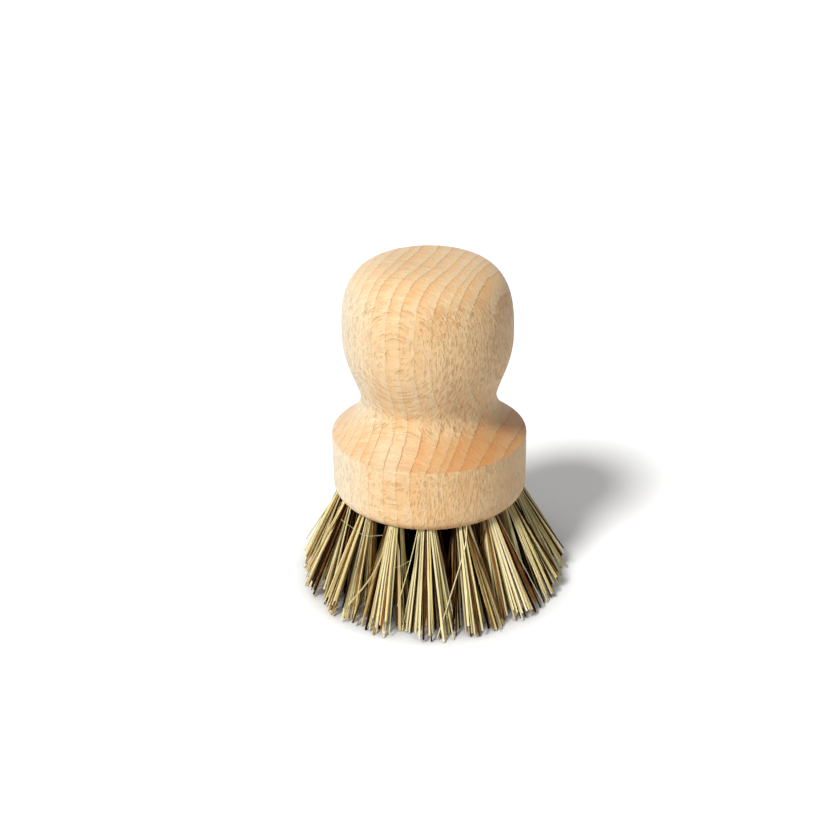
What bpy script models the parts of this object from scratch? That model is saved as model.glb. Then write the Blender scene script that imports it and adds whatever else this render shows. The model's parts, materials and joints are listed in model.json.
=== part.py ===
"""Round pot brush: a turned beech hand block with staple-set tufts of stiff plant fibre.

Metres, +Z up. The origin is on the surface that the fibre tips stand on, below the middle
of the block, and the front of the brush faces -Y. The block is one turned piece: a drilled
disc, a waist that the fingers close round, and a knob that fills the palm. Each tuft is a
bundle of fibres folded in half over a wire staple, which is driven into a drilled hole.
"""

import math
import random

import bmesh
import bpy
from mathutils import Matrix, Vector

# Turned block, with heights above its underside
DISC_DIAMETER = 0.052
RIM_HEIGHT = 0.0177
RIM_EDGE_RADIUS = 0.0007
UNDERSIDE_EDGE_RADIUS = 0.0037
SHOULDER_SLOPE = math.radians(34.4)
SHOULDER_REACH = 0.0053
WAIST_DIAMETER = 0.0359
WAIST_HEIGHT = 0.02845
WAIST_REACH = 0.0045
KNOB_DIAMETER = 0.0446
KNOB_HEIGHT = 0.0457
KNOB_SWELL = 0.75
BLOCK_HEIGHT = 0.0657
DOME_RISE_POWER = 2.82
DOME_WIDTH_POWER = 3.75

# Drilled holes: each row leans outwards, the outer row most, and its mouths cut the rounded edge
HOLE_DIAMETER = 0.005
HOLE_DEPTH = 0.010
DRILL_POINT_ANGLE = math.radians(118)
EDGE_DISTANCE = 0.0037
ROW_PITCH = 0.0078
OUTER_COUNT = 16
MIDDLE_COUNT = 9
INNER_COUNT = 4
OUTER_LEAN = math.radians(18)
MIDDLE_LEAN = math.radians(8)
INNER_LEAN = math.radians(3)
FRONT_TURN = math.radians(-2)

# Fibres
FREE_LENGTH = 0.0243
STRAND_WIDTH = 0.00062
STRAND_TIP_WIDTH = 0.00054
STRAND_GAP = 0.00014
OUTER_FLARE = (math.radians(10.2), math.radians(7.9))
MIDDLE_FLARE = (math.radians(6.3), math.radians(6.3))
INNER_FLARE = (math.radians(5.0), math.radians(5.0))
STRAY_ANGLE = math.radians(0.45)
FLAT_CUT = 0.0005
RAGGED_LENGTH = 0.0022
EVEN_SHARE = 0.45
ROOT_RECESS = 0.0011
FIBRE_SEED = 7

# Staples
WIRE_DIAMETER = 0.0007
STAPLE_WIDTH = 0.0033
CROWN_DEPTH = 0.003
LEG_BITE = 0.0034

# Space left between pieces that touch, and how far one shape reaches into another to join or cut it
CLEARANCE = 0.0003
OVERRUN = 0.0006

# Fineness of the round shapes
BLOCK_SIDES = 48
RIM_EDGE_STEPS = 3
UNDERSIDE_EDGE_STEPS = 5
SHARP_ANGLE = math.radians(30)
HOLE_SIDES = 10
LEG_HOLE_SIDES = 4
CROWN_STEPS = 4
OUTLINE_SAMPLES = 90
OUTLINE_TURN = math.radians(11)
OUTLINE_STEP = 0.0045
FLAT_ANGLE = math.radians(0.5)
MERGE = 0.00001

# Colours: linear red, green, blue, with roughness and metallic value
BEECH = ((0.76, 0.53, 0.33), 0.55, 0.0)
STRAW_FIBRE = ((0.55, 0.47, 0.20), 0.50, 0.0)
TAN_FIBRE = ((0.30, 0.13, 0.04), 0.50, 0.0)
DARK_FIBRE = ((0.035, 0.022, 0.014), 0.50, 0.0)
STEEL = ((0.55, 0.55, 0.53), 0.35, 1.0)
FIBRE_SHARES = (0.66, 0.20, 0.14)

DISC_RADIUS = DISC_DIAMETER / 2
HOLE_RADIUS = HOLE_DIAMETER / 2
ROOT_RADIUS = HOLE_RADIUS - CLEARANCE
WIRE_RADIUS = WIRE_DIAMETER / 2
POINT_DEPTH = HOLE_RADIUS / math.tan(DRILL_POINT_ANGLE / 2)
CROWN_LEVEL = HOLE_DEPTH - CROWN_DEPTH
LEG_END = HOLE_DEPTH + LEG_BITE
OUTER_ROW = DISC_RADIUS - EDGE_DISTANCE
MIDDLE_ROW = OUTER_ROW - ROW_PITCH
INNER_ROW = MIDDLE_ROW - ROW_PITCH

ROWS = (
    ("outer", OUTER_COUNT, OUTER_ROW, OUTER_LEAN, OUTER_FLARE),
    ("middle", MIDDLE_COUNT, MIDDLE_ROW, MIDDLE_LEAN, MIDDLE_FLARE),
    ("inner", INNER_COUNT, INNER_ROW, INNER_LEAN, INNER_FLARE),
)


def empty_scene():
    for thing in list(bpy.data.objects):
        bpy.data.objects.remove(thing, do_unlink=True)


def new_collection(name):
    collection = bpy.data.collections.new(name)
    bpy.context.scene.collection.children.link(collection)
    return collection


def material(name, look):
    colour, roughness, metallic = look
    made = bpy.data.materials.new(name)
    made.use_nodes = True
    made.diffuse_color = (*colour, 1.0)
    shader = made.node_tree.nodes["Principled BSDF"]
    shader.inputs["Base Color"].default_value = (*colour, 1.0)
    shader.inputs["Roughness"].default_value = roughness
    shader.inputs["Metallic"].default_value = metallic
    return made


def place(name, data, collection, where=None):
    made = bpy.data.objects.new(name, data)
    collection.objects.link(made)
    if where is not None:
        made.matrix_world = where
    return made


def as_helper(thing):
    """Cutters and other helpers stay in the file as wires, and are not part of the brush."""
    thing.hide_render = True
    thing.display_type = "WIRE"
    return thing


def evaluated_mesh(thing, name):
    bpy.context.view_layer.update()
    graph = bpy.context.evaluated_depsgraph_get()
    mesh = bpy.data.meshes.new_from_object(thing.evaluated_get(graph))
    mesh.name = name
    return mesh


def turned(name, outline, sides, collection):
    """An object turned about Z from an outline of (radius, height), from its top down its outer side."""
    profile = bpy.data.meshes.new(name)
    points = [(radius, 0.0, height) for radius, height in outline]
    profile.from_pydata(points, [(i, i + 1) for i in range(len(points) - 1)], [])
    made = place(name, profile, collection)
    screw = made.modifiers.new("turn", "SCREW")
    screw.steps = sides
    screw.render_steps = sides
    screw.use_merge_vertices = True
    screw.merge_threshold = MERGE
    return made


def join_flat_faces(thing):
    flat = thing.modifiers.new("flat faces", "DECIMATE")
    flat.decimate_type = "DISSOLVE"
    flat.angle_limit = FLAT_ANGLE


def boolean(thing, operation, other=None, group=None):
    cut = thing.modifiers.new(operation.lower(), "BOOLEAN")
    cut.operation = operation
    cut.solver = "EXACT"
    if group is not None:
        cut.operand_type = "COLLECTION"
        cut.collection = group
    else:
        cut.object = other
    return cut


def rounded_corner(before, corner, after, radius, steps):
    """Points of an arc that rounds the corner between two straight runs."""
    back = (before - corner).normalized()
    ahead = (after - corner).normalized()
    half = back.angle(ahead) / 2
    centre = corner + (back + ahead).normalized() * radius / math.sin(half)
    start = corner + back * radius / math.tan(half) - centre
    end = corner + ahead * radius / math.tan(half) - centre
    turns = [start.slerp(end, i / steps).normalized() for i in range(steps + 1)]
    return [centre + turn * radius for turn in turns]


def thinned(points, turn, step):
    """Keeps an outline's points where it has turned or run far enough since the last one kept."""
    kept = [points[0]]
    heading = points[1] - points[0]
    for here, following in zip(points[1:-1], points[2:]):
        ahead = following - here
        if heading.angle(ahead) >= turn or (here - kept[-1]).length >= step:
            kept.append(here)
            heading = ahead
    return kept + [points[-1]]


def block_outline():
    """Half outline of the turned block: dome, knob, waist, shoulder, rim and underside."""
    waist, knob = WAIST_DIAMETER / 2, KNOB_DIAMETER / 2
    steps = OUTLINE_SAMPLES
    outline = []
    for i in range(steps):
        angle = math.pi / 2 * (1 - i / steps)
        radius = knob * math.cos(angle) ** (2 / DOME_WIDTH_POWER) if i else 0.0
        rise = (BLOCK_HEIGHT - KNOB_HEIGHT) * math.sin(angle) ** (2 / DOME_RISE_POWER)
        outline.append(Vector((radius, KNOB_HEIGHT + rise)))
    for i in range(steps):
        share = 1 - i / steps
        swell = 0.5 - 0.5 * math.cos(math.pi * share**KNOB_SWELL)
        height = WAIST_HEIGHT + (KNOB_HEIGHT - WAIST_HEIGHT) * share
        outline.append(Vector((waist + (knob - waist) * swell, height)))
    start = Vector((waist, WAIST_HEIGHT))
    rim = Vector((DISC_RADIUS, RIM_HEIGHT))
    first = start - Vector((0, WAIST_REACH))
    slope = Vector((-math.cos(SHOULDER_SLOPE), math.sin(SHOULDER_SLOPE)))
    second = rim + slope * SHOULDER_REACH
    corner = Vector((DISC_RADIUS, 0))
    edge = rounded_corner(second, rim, corner, RIM_EDGE_RADIUS, RIM_EDGE_STEPS)
    for i in range(steps):
        t = i / steps
        point = (1 - t) ** 3 * start + 3 * (1 - t) ** 2 * t * first
        point += 3 * (1 - t) * t**2 * second + t**3 * rim
        if (point - rim).length > (edge[0] - rim).length:
            outline.append(point)
    outline = thinned(outline + [edge[0]], OUTLINE_TURN, OUTLINE_STEP) + edge[1:]
    middle = Vector((0, 0))
    outline += rounded_corner(rim, corner, middle, UNDERSIDE_EDGE_RADIUS, UNDERSIDE_EDGE_STEPS)
    outline.append(middle)
    return [(radius, height + FREE_LENGTH) for radius, height in outline]


def hole_places():
    """Row and number of each hole with its frame: origin in the mouth, +Z into the wood, +X outwards."""
    for row, count, radius, lean, flare in ROWS:
        for number in range(count):
            azimuth = -math.pi / 2 + FRONT_TURN + number * 2 * math.pi / count
            where = (
                Matrix.Rotation(azimuth, 4, "Z")
                @ Matrix.Translation((radius, 0, FREE_LENGTH))
                @ Matrix.Rotation(-lean, 4, "Y")
            )
            yield f"{row}_{number + 1:02d}", where, flare


def drill_mesh(collection):
    """The drill that makes a tuft's hole, with its point, starting outside the wood."""
    outline = [
        (0.0, HOLE_DEPTH + POINT_DEPTH),
        (HOLE_RADIUS, HOLE_DEPTH),
        (HOLE_RADIUS, -HOLE_RADIUS),
        (0.0, -HOLE_RADIUS),
    ]
    drill = turned("drill", outline, HOLE_SIDES, collection)
    mesh = evaluated_mesh(drill, "drill")
    bpy.data.objects.remove(drill)
    return mesh


def leg_hole_mesh():
    """The two narrow holes that a staple's legs press into the bottom of a tuft's hole."""
    start, end = HOLE_DEPTH - OVERRUN, LEG_END + CLEARANCE
    shape = bmesh.new()
    for side in (-1, 1):
        bmesh.ops.create_cone(
            shape,
            cap_ends=True,
            segments=LEG_HOLE_SIDES,
            radius1=WIRE_RADIUS + CLEARANCE,
            radius2=WIRE_RADIUS + CLEARANCE,
            depth=end - start,
            matrix=Matrix.Translation((0, side * STAPLE_WIDTH / 2, (start + end) / 2)),
        )
    mesh = bpy.data.meshes.new("leg_holes")
    shape.to_mesh(mesh)
    shape.free()
    return mesh


def make_block(parts, cutters):
    """The turned block with a drilled hole for each tuft and a pair of narrow ones for each staple."""
    drills = bpy.data.collections.new("drills")
    legs = bpy.data.collections.new("leg_holes")
    cutters.children.link(drills)
    cutters.children.link(legs)
    drill, leg_holes = drill_mesh(cutters), leg_hole_mesh()
    for name, where, _ in hole_places():
        as_helper(place(f"drill_{name}", drill, drills, where))
        as_helper(place(f"leg_holes_{name}", leg_holes, legs, where))
    block = turned("hand_block", block_outline(), BLOCK_SIDES, parts)
    join_flat_faces(block)
    boolean(block, "DIFFERENCE", group=drills)
    boolean(block, "DIFFERENCE", group=legs)
    mesh = evaluated_mesh(block, "hand_block")
    block.modifiers.clear()
    block.data = mesh
    mesh.shade_smooth()
    mesh.set_sharp_from_angle(angle=SHARP_ANGLE)
    mesh.materials.clear()
    mesh.materials.append(material("beech", BEECH))
    return block


def staple_slot(collection):
    """The space that a staple takes in a tuft's fold: both sides and the bridge, round a tongue of fibre."""
    reach = HOLE_RADIUS + OVERRUN
    room = WIRE_RADIUS + CLEARANCE
    tongue = STAPLE_WIDTH / 2 - room
    low, high = CROWN_LEVEL - room, HOLE_DEPTH + POINT_DEPTH
    bridge = CROWN_LEVEL + room
    corners = [(-reach, low), (reach, low), (reach, high), (tongue, high)]
    corners += [(tongue, bridge), (-tongue, bridge), (-tongue, high), (-reach, high)]
    outline = bpy.data.curves.new("staple_slot", "CURVE")
    outline.dimensions = "2D"
    outline.fill_mode = "BOTH"
    outline.extrude = room
    spline = outline.splines.new("POLY")
    spline.points.add(len(corners) - 1)
    for point, (across, along) in zip(spline.points, corners):
        point.co = (across, along, 0, 1)
    spline.use_cyclic_u = True
    upright = Matrix.Rotation(math.pi / 2, 4, "Z") @ Matrix.Rotation(math.pi / 2, 4, "X")
    flat = place("staple_slot_outline", outline, collection, upright)
    mesh = evaluated_mesh(flat, "staple_slot")
    bpy.data.objects.remove(flat)
    shape = bmesh.new()
    shape.from_mesh(mesh)
    bmesh.ops.remove_doubles(shape, verts=shape.verts, dist=MERGE)
    bmesh.ops.recalc_face_normals(shape, faces=shape.faces)
    shape.to_mesh(mesh)
    shape.free()
    return as_helper(place("staple_slot", mesh, collection, upright))


def packed_root(cutters):
    """The folded, packed end of a tuft that fills its hole up to the drill's point."""
    cone = POINT_DEPTH / HOLE_RADIUS
    offset = CLEARANCE / math.sin(DRILL_POINT_ANGLE / 2)

    def fold_height(radius):
        return HOLE_DEPTH + POINT_DEPTH - radius * cone - offset

    outline = [
        (0.0, fold_height(0.0)),
        (ROOT_RADIUS, fold_height(ROOT_RADIUS)),
        (ROOT_RADIUS, ROOT_RECESS),
        (0.0, ROOT_RECESS),
    ]
    root = turned("packed_root", outline, HOLE_SIDES, cutters)
    join_flat_faces(root)
    boolean(root, "DIFFERENCE", other=staple_slot(cutters))
    mesh = evaluated_mesh(root, "packed_root")
    bpy.data.objects.remove(root)
    return mesh


def strand_starts():
    """Places of the fibres across a packed root, in rings from the outside in, each as (radius, angle)."""
    starts = []
    width = STRAND_WIDTH
    radius = ROOT_RADIUS * math.cos(math.pi / HOLE_SIDES) - STRAND_GAP - width / 2
    while radius > width / 2 + STRAND_GAP:
        count = int(math.pi / math.atan((width + STRAND_GAP) / 2 / (radius - width / 2)))
        starts += [(radius, i * 2 * math.pi / count) for i in range(count)]
        radius -= math.hypot(width, width / 2) + STRAND_GAP
    return starts


def strand_bundle(name, where, flare, chance):
    """The fibres of one tuft, straight and spreading, with the longest cut flat where they stand."""
    starts = strand_starts()
    widest = starts[0][0]
    spread = [math.tan(angle) / widest for angle in flare]
    top = Vector((0, 0, ROOT_RECESS + OVERRUN))
    shape = bmesh.new()
    for number, (radius, angle) in enumerate(starts):
        base = top + Vector((radius * math.cos(angle), radius * math.sin(angle), 0))
        along = Vector((base.x * spread[0], base.y * spread[1], -1)).normalized()
        shorter = 0.0
        if number:
            stray = chance.uniform(-STRAY_ANGLE, STRAY_ANGLE)
            along.rotate(Matrix.Rotation(stray, 3, "Y"))
            along.rotate(Matrix.Rotation(chance.uniform(-STRAY_ANGLE, STRAY_ANGLE), 3, "X"))
            cut = max(0.0, chance.random() - EVEN_SHARE) / (1 - EVEN_SHARE)
            shorter = RAGGED_LENGTH * cut
        fall = -(where.to_3x3() @ along).z
        height = (where @ base).z
        end = shorter if shorter > FLAT_CUT else -FLAT_CUT
        length = (height - end) / fall
        grown = STRAND_TIP_WIDTH / STRAND_WIDTH
        facing = along.to_track_quat("Z", "X").to_matrix().to_4x4()
        out = facing.inverted().to_3x3() @ Vector((math.cos(angle), math.sin(angle), 0))
        spin = Matrix.Rotation(math.atan2(out.y, out.x) + math.pi / 4, 4, "Z")
        made = bmesh.ops.create_cone(
            shape,
            cap_ends=True,
            segments=4,
            radius1=STRAND_WIDTH / math.sqrt(2),
            radius2=STRAND_WIDTH / math.sqrt(2) * grown,
            depth=length,
            matrix=Matrix.Translation(base + along * length / 2) @ facing @ spin,
        )
        shade = chance.choices(range(len(FIBRE_SHARES)), FIBRE_SHARES)[0]
        for face in {face for corner in made["verts"] for face in corner.link_faces}:
            face.material_index = shade
    cut_at_floor(shape, where)
    mesh = bpy.data.meshes.new(name)
    shape.to_mesh(mesh)
    shape.free()
    return mesh


def cut_at_floor(shape, where):
    """Trims a bundle on the surface that the brush stands on, and closes each trimmed tip."""
    back = where.inverted()
    geometry = shape.verts[:] + shape.edges[:] + shape.faces[:]
    bmesh.ops.bisect_plane(
        shape,
        geom=geometry,
        dist=MERGE / 10,
        plane_co=back @ Vector((0, 0, 0)),
        plane_no=back.to_3x3() @ Vector((0, 0, -1)),
        clear_outer=True,
    )
    rims = [edge for edge in shape.edges if edge.is_boundary]
    bmesh.ops.holes_fill(shape, edges=rims, sides=0)


def make_tufts(parts, cutters):
    """One folded bundle of mixed fibres for each hole."""
    root = packed_root(cutters)
    fibres = [
        material("straw_fibre", STRAW_FIBRE),
        material("tan_fibre", TAN_FIBRE),
        material("dark_fibre", DARK_FIBRE),
    ]
    chance = random.Random(FIBRE_SEED)
    total = 0
    for name, where, flare in hole_places():
        bundle = strand_bundle(f"strands_{name}", where, flare, chance)
        tuft_root = root.copy()
        for mesh in (bundle, tuft_root):
            mesh.materials.clear()
            for fibre in fibres:
                mesh.materials.append(fibre)
        strands = as_helper(place(f"strands_{name}", bundle, cutters, where))
        tuft = place(f"tuft_{name}", tuft_root, parts, where)
        boolean(tuft, "UNION", other=strands)
        total += len(strand_starts())
    print(f"{total} strands")


def make_staples(parts):
    """A round-wire staple over the fold of each tuft, with its legs in the wood past the hole."""
    wire = bpy.data.curves.new("staple_wire", "CURVE")
    wire.dimensions = "3D"
    wire.bevel_depth = WIRE_RADIUS
    wire.bevel_resolution = 1
    wire.use_fill_caps = True
    wire.materials.append(material("steel_wire", STEEL))
    half = STAPLE_WIDTH / 2
    path = [(-half, LEG_END)]
    for i in range(CROWN_STEPS + 1):
        angle = math.pi * (1 + i / CROWN_STEPS)
        path.append((half * math.cos(angle), CROWN_LEVEL + half + half * math.sin(angle)))
    path.append((half, LEG_END))
    spline = wire.splines.new("POLY")
    spline.points.add(len(path) - 1)
    for point, (across, along) in zip(spline.points, path):
        point.co = (0, across, along, 1)
    for name, where, _ in hole_places():
        place(f"staple_{name}", wire, parts, where)


def main():
    empty_scene()
    parts = new_collection("pot_brush")
    cutters = new_collection("cutters")
    make_block(parts, cutters)
    make_tufts(parts, cutters)
    make_staples(parts)


main()
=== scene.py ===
"""Round pot brush: the finish of its turned beech block, its fibre tufts and staples, and its stage.

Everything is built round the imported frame, in metres and +Z up, with the brush standing on its
fibre tips and its front facing -Y.
"""

import json
import math
import random

import bpy
from bpy.props import FloatProperty, FloatVectorProperty, IntProperty, PointerProperty
from mathutils import Matrix, Vector

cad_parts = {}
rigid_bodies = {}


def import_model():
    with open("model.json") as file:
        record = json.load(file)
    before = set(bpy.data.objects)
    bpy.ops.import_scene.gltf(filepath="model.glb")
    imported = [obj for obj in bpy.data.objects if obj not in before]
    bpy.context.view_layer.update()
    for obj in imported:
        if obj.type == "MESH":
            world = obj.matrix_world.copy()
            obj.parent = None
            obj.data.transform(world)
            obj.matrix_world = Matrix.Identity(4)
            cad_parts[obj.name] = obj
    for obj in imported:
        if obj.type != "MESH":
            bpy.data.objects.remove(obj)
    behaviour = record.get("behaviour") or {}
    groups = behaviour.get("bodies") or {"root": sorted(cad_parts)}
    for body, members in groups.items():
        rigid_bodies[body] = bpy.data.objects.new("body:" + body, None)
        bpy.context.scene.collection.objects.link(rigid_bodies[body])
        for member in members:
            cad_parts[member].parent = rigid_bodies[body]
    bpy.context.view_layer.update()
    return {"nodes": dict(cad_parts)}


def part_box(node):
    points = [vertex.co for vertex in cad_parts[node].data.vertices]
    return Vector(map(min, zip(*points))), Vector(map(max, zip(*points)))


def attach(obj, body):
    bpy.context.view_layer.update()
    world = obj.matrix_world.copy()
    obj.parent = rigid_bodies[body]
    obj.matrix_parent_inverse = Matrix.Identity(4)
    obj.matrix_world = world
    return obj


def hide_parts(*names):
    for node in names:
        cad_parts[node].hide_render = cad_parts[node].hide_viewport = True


bl_info = {
    "name": "Pot Brush",
    "version": (1, 0, 0),
    "blender": (4, 5, 0),
    "location": "3D View > Sidebar > Pot Brush",
    "description": "Makes a turned beech pot brush with staple-set tufts of plant fibre",
    "category": "Object",
}

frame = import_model()

BODY = "root"
IMAGE_SIDE = 832
FILM_WIDTH = 36.0
MM = 0.001

block_low, block_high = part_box("hand_block")

# Turned outline, with heights above the underside of the wood
DISC_RADIUS = (block_high.x - block_low.x) / 2
BLOCK_HEIGHT = block_high.z - block_low.z
FREE_LENGTH = block_low.z
RIM_HEIGHT = 0.0177
RIM_EDGE_RADIUS = 0.0007
UNDERSIDE_EDGE_RADIUS = 0.0037
SHOULDER_SLOPE = math.radians(34.4)
SHOULDER_REACH = 0.0053
WAIST_RADIUS = 0.01795
WAIST_HEIGHT = 0.02845
WAIST_REACH = 0.0045
KNOB_RADIUS = 0.0223
KNOB_HEIGHT = 0.0457
KNOB_SWELL = 0.75
DOME_RISE_POWER = 2.82
DOME_WIDTH_POWER = 3.75

# Radii of the edges that divide the flat underside
UNDERSIDE_RADII = (0.0195, 0.0150, 0.0105, 0.0055, 0.0)

# Drilled holes and the tufts in them
HOLE_RADIUS = 0.0025
HOLE_DEPTH = 0.010
DRILL_POINT_ANGLE = math.radians(118)
DRILL_SIDES = 40
EDGE_DISTANCE = 0.0037
ROW_PITCH = 0.0078
FRONT_TURN = math.radians(-2)
CROWN_LEVEL = 0.007

# Each row from the outer one inwards: its name, its lean, and how far its tufts flare outwards and
# sideways, in degrees
ROWS = (
    ("outer", 18, (15.5, 12.4)),
    ("middle", 8, (11, 13)),
    ("inner", 3, (11, 11)),
)

# The grain's own axes: across the growth rings, along them, and up the trunk
ACROSS_RINGS = Vector((0.927, -0.375, 0.0))
ALONG_RINGS = Vector((-0.375, -0.927, 0.0))
UP_TRUNK = Vector((0.0, 0.0, 1.0))

# Where the growth rings' edges lie across the block, in millimetres from its axis
LEFT_EDGES = (-29.0, -25.6, -22.4, -19.3, -16.3, -13.2, -9.6, -6.9, -2.4)
RIGHT_EDGES = (1.2, 5.0, 8.9, 11.7, 13.3, 16.0, 19.5, 23.1, 26.4, 30.0)
RING_EDGES = LEFT_EDGES + RIGHT_EDGES


def colour_setting(name, description, default):
    """A colour that a user can change."""
    return FloatVectorProperty(
        name=name, description=description, subtype="COLOR", default=default, min=0.0, max=1.0
    )


def length_setting(name, description, default, low=0.0):
    """A length that a user can change."""
    return FloatProperty(name=name, description=description, default=default, min=low, unit="LENGTH")


class BlockSettings(bpy.types.PropertyGroup):
    """Turned beech block."""

    sides: IntProperty(
        name="Turning sides", description="Faces round the turned block", default=240, min=48, max=512
    )
    mouth_chamfer: length_setting("Mouth chamfer", "Broken edge at the mouth of each drilled hole", 0.00025)
    early_wood: colour_setting(
        "Early wood", "Pale wood at the start of a year's growth", (0.755, 0.555, 0.315)
    )
    late_wood: colour_setting(
        "Late wood", "Warmer wood at the end of a year's growth", (0.735, 0.420, 0.175)
    )
    # Partly pale sapwood, partly a painted highlight on the block's lit front-left
    sapwood_and_highlight: colour_setting(
        "Sapwood And Highlight", "Palest wood, towards the bark on the block's left side", (0.77, 0.65, 0.46)
    )
    # Partly the end grain's own tint, partly painted shade low down on the block's shaded right side
    end_grain_and_shade: colour_setting(
        "End grain",
        "Tint of the wood where the cut fibres face up and drink in the light",
        (0.79, 0.60, 0.42),
    )
    ring_line: colour_setting("Ring line", "Thin dark edge of a growth ring", (0.38, 0.195, 0.080))
    ray: colour_setting("Rays", "Tint of small rays, seen end-on as short dashes", (0.64, 0.47, 0.32))
    broad_ray: colour_setting(
        "Broad rays", "Tint of rays seen from the side, as soft orange flecks", (0.95, 0.71, 0.44)
    )
    ring_bend: length_setting("Ring bend", "How far the growth rings curve across the block", 0.0028)


class FibreSettings(bpy.types.PropertyGroup):
    """Plant fibre tufts."""

    spacing: length_setting(
        "Spacing", "Distance between fibres where they are packed in a hole", 0.00042, low=0.0003
    )
    thinnest: length_setting("Thinnest", "Width of the thinnest fibre", 0.00030)
    thickest: length_setting("Thickest", "Width of the thickest fibre", 0.00086)
    ragged: length_setting(
        "Ragged length",
        "How far the shortest tips end above the surface that the brush stands on",
        0.0030,
    )
    bow: length_setting("Bow", "How far a fibre's tip bends off a straight line", 0.0006)
    clumping: FloatProperty(
        name="Clumping",
        description="How far neighbouring fibres keep together, which leaves gaps beside them",
        default=0.55,
        min=0.0,
        max=1.0,
        subtype="FACTOR",
    )
    seed: IntProperty(name="Seed", description="Start of the fibres' random order", default=11)


class StageSettings(bpy.types.PropertyGroup):
    """Floor, light and camera."""

    lamp_strength: FloatProperty(
        name="Lamp strength", description="Strength of the soft key lamp", default=3.53, min=0.0
    )
    lamp_spread: FloatProperty(
        name="Lamp spread",
        description="Apparent width of the key lamp, which softens the shadow",
        default=math.radians(14),
        subtype="ANGLE",
        unit="ROTATION",
    )
    sky_strength: FloatProperty(
        name="Sky strength", description="Even light from all round", default=0.255, min=0.0
    )
    sky_slope: FloatProperty(
        name="Sky slope", description="How much more of it comes from the front and left", default=0.17
    )
    floor: colour_setting("Floor", "Colour of the floor", (0.87, 0.87, 0.865))


class PotBrushSettings(bpy.types.PropertyGroup):
    """All settings of the brush."""

    block: PointerProperty(type=BlockSettings)
    fibres: PointerProperty(type=FibreSettings)
    stage: PointerProperty(type=StageSettings)


class NodeBench:
    """Adds nodes to one node tree and hands back what they put out."""

    def __init__(self, tree):
        self.tree = tree

    def feed(self, socket, value):
        """Links an output to a socket, or sets the socket. A colour comes without its alpha."""
        if isinstance(value, bpy.types.NodeSocket):
            self.tree.links.new(value, socket)
        elif socket.type == "RGBA":
            socket.default_value = (*value, 1.0)
        else:
            socket.default_value = value

    def add(self, kind, inputs=None, **settings):
        """A new node with its settings, and its inputs fed by name or number."""
        made = self.tree.nodes.new(kind)
        for name, value in settings.items():
            setattr(made, name, value)
        for name, value in (inputs or {}).items():
            self.feed(made.inputs[name], value)
        return made

    def math(self, operation, *values, clamp=False):
        inputs = dict(enumerate(values))
        return self.add("ShaderNodeMath", inputs, operation=operation, use_clamp=clamp).outputs[0]

    def product(self, *values):
        """All the values multiplied."""
        result = values[0]
        for value in values[1:]:
            result = self.math("MULTIPLY", result, value)
        return result

    def vector(self, operation, first, second=None):
        inputs = {0: first}
        if second is not None:
            inputs["Scale" if operation == "SCALE" else 1] = second
        made = self.add("ShaderNodeVectorMath", inputs, operation=operation)
        return made.outputs["Value" if operation in {"DOT_PRODUCT", "LENGTH"} else "Vector"]

    def separate(self, vector):
        return self.add("ShaderNodeSeparateXYZ", {0: vector}).outputs

    def stretched(self, place, shares):
        """A place from its three coordinates, each times its own share."""
        scaled = [self.product(value, share) for value, share in zip(place, shares)]
        return self.add("ShaderNodeCombineXYZ", dict(enumerate(scaled))).outputs[0]

    def remap(self, value, start, end, low=0.0, high=1.0, smooth=True):
        """Takes value from the range start..end to low..high, and holds it at the ends."""
        inputs = {"Value": value, "From Min": start, "From Max": end, "To Min": low, "To Max": high}
        kind = "SMOOTHSTEP" if smooth else "LINEAR"
        return self.add("ShaderNodeMapRange", inputs, interpolation_type=kind).outputs[0]

    def noise(self, place, scale=1.0, detail=2.0, roughness=0.5, output=0):
        inputs = {"Vector": place, "Scale": scale, "Detail": detail, "Roughness": roughness}
        return self.add("ShaderNodeTexNoise", inputs).outputs[output]

    def blend(self, share, first, second, mode="MIX"):
        inputs = {0: share, 6: first, 7: second}
        return self.add("ShaderNodeMix", inputs, data_type="RGBA", blend_type=mode).outputs[2]

    def ramp(self, value, stops):
        """A colour ramp through stops of (place, colour)."""
        made = self.add("ShaderNodeValToRGB", {0: value})
        elements = made.color_ramp.elements
        while len(elements) < len(stops):
            elements.new(0.5)
        for element, (place, colour) in zip(elements, stops):
            element.position = place
            element.color = (*colour, 1.0)
        return made.outputs[0]

    def group(self, tree, **values):
        inputs = {name.replace("_", " ").title(): value for name, value in values.items()}
        return self.add("ShaderNodeGroup", inputs, node_tree=tree).outputs

    def bump(self, height, strength, distance):
        inputs = {"Height": height, "Strength": strength, "Distance": distance}
        return self.add("ShaderNodeBump", inputs).outputs[0]


def new_group(name, inputs):
    """An empty shader node group with the inputs given, as (bench, what goes in)."""
    tree = bpy.data.node_groups.new(name, "ShaderNodeTree")
    for label, kind in inputs.items():
        tree.interface.new_socket(name=label, in_out="INPUT", socket_type=kind)
    bench = NodeBench(tree)
    return bench, bench.add("NodeGroupInput").outputs


def finished_group(bench, masks):
    """The bench's node group, which puts out the masks by name."""
    for label in masks:
        bench.tree.interface.new_socket(name=label, in_out="OUTPUT", socket_type="NodeSocketFloat")
    bench.add("NodeGroupOutput", masks)
    return bench.tree


def new_material(name):
    """A material with its Principled shader, as (material, bench, shader inputs)."""
    made = bpy.data.materials.new(name)
    made.use_nodes = True
    return made, NodeBench(made.node_tree), made.node_tree.nodes["Principled BSDF"].inputs


# How strongly the rings curve behind the block's middle
CURVE_BEHIND = 0.010

# The share of late wood that a face shows at no contrast, and how strongly contrast spreads it
MEAN_LATE_WOOD = 0.38
LATE_WOOD_CONTRAST = 1.25

# Layers of rays: length across the rings, thickness and height in millimetres, the share of places
# that hold one, and its strength
RAY_LAYERS = (
    (9.0, 0.25, 2.7, 0.68, 1.0),
    (5.0, 0.19, 1.6, 0.80, 0.7),
)
RAY_DRIFT = 0.9


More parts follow.
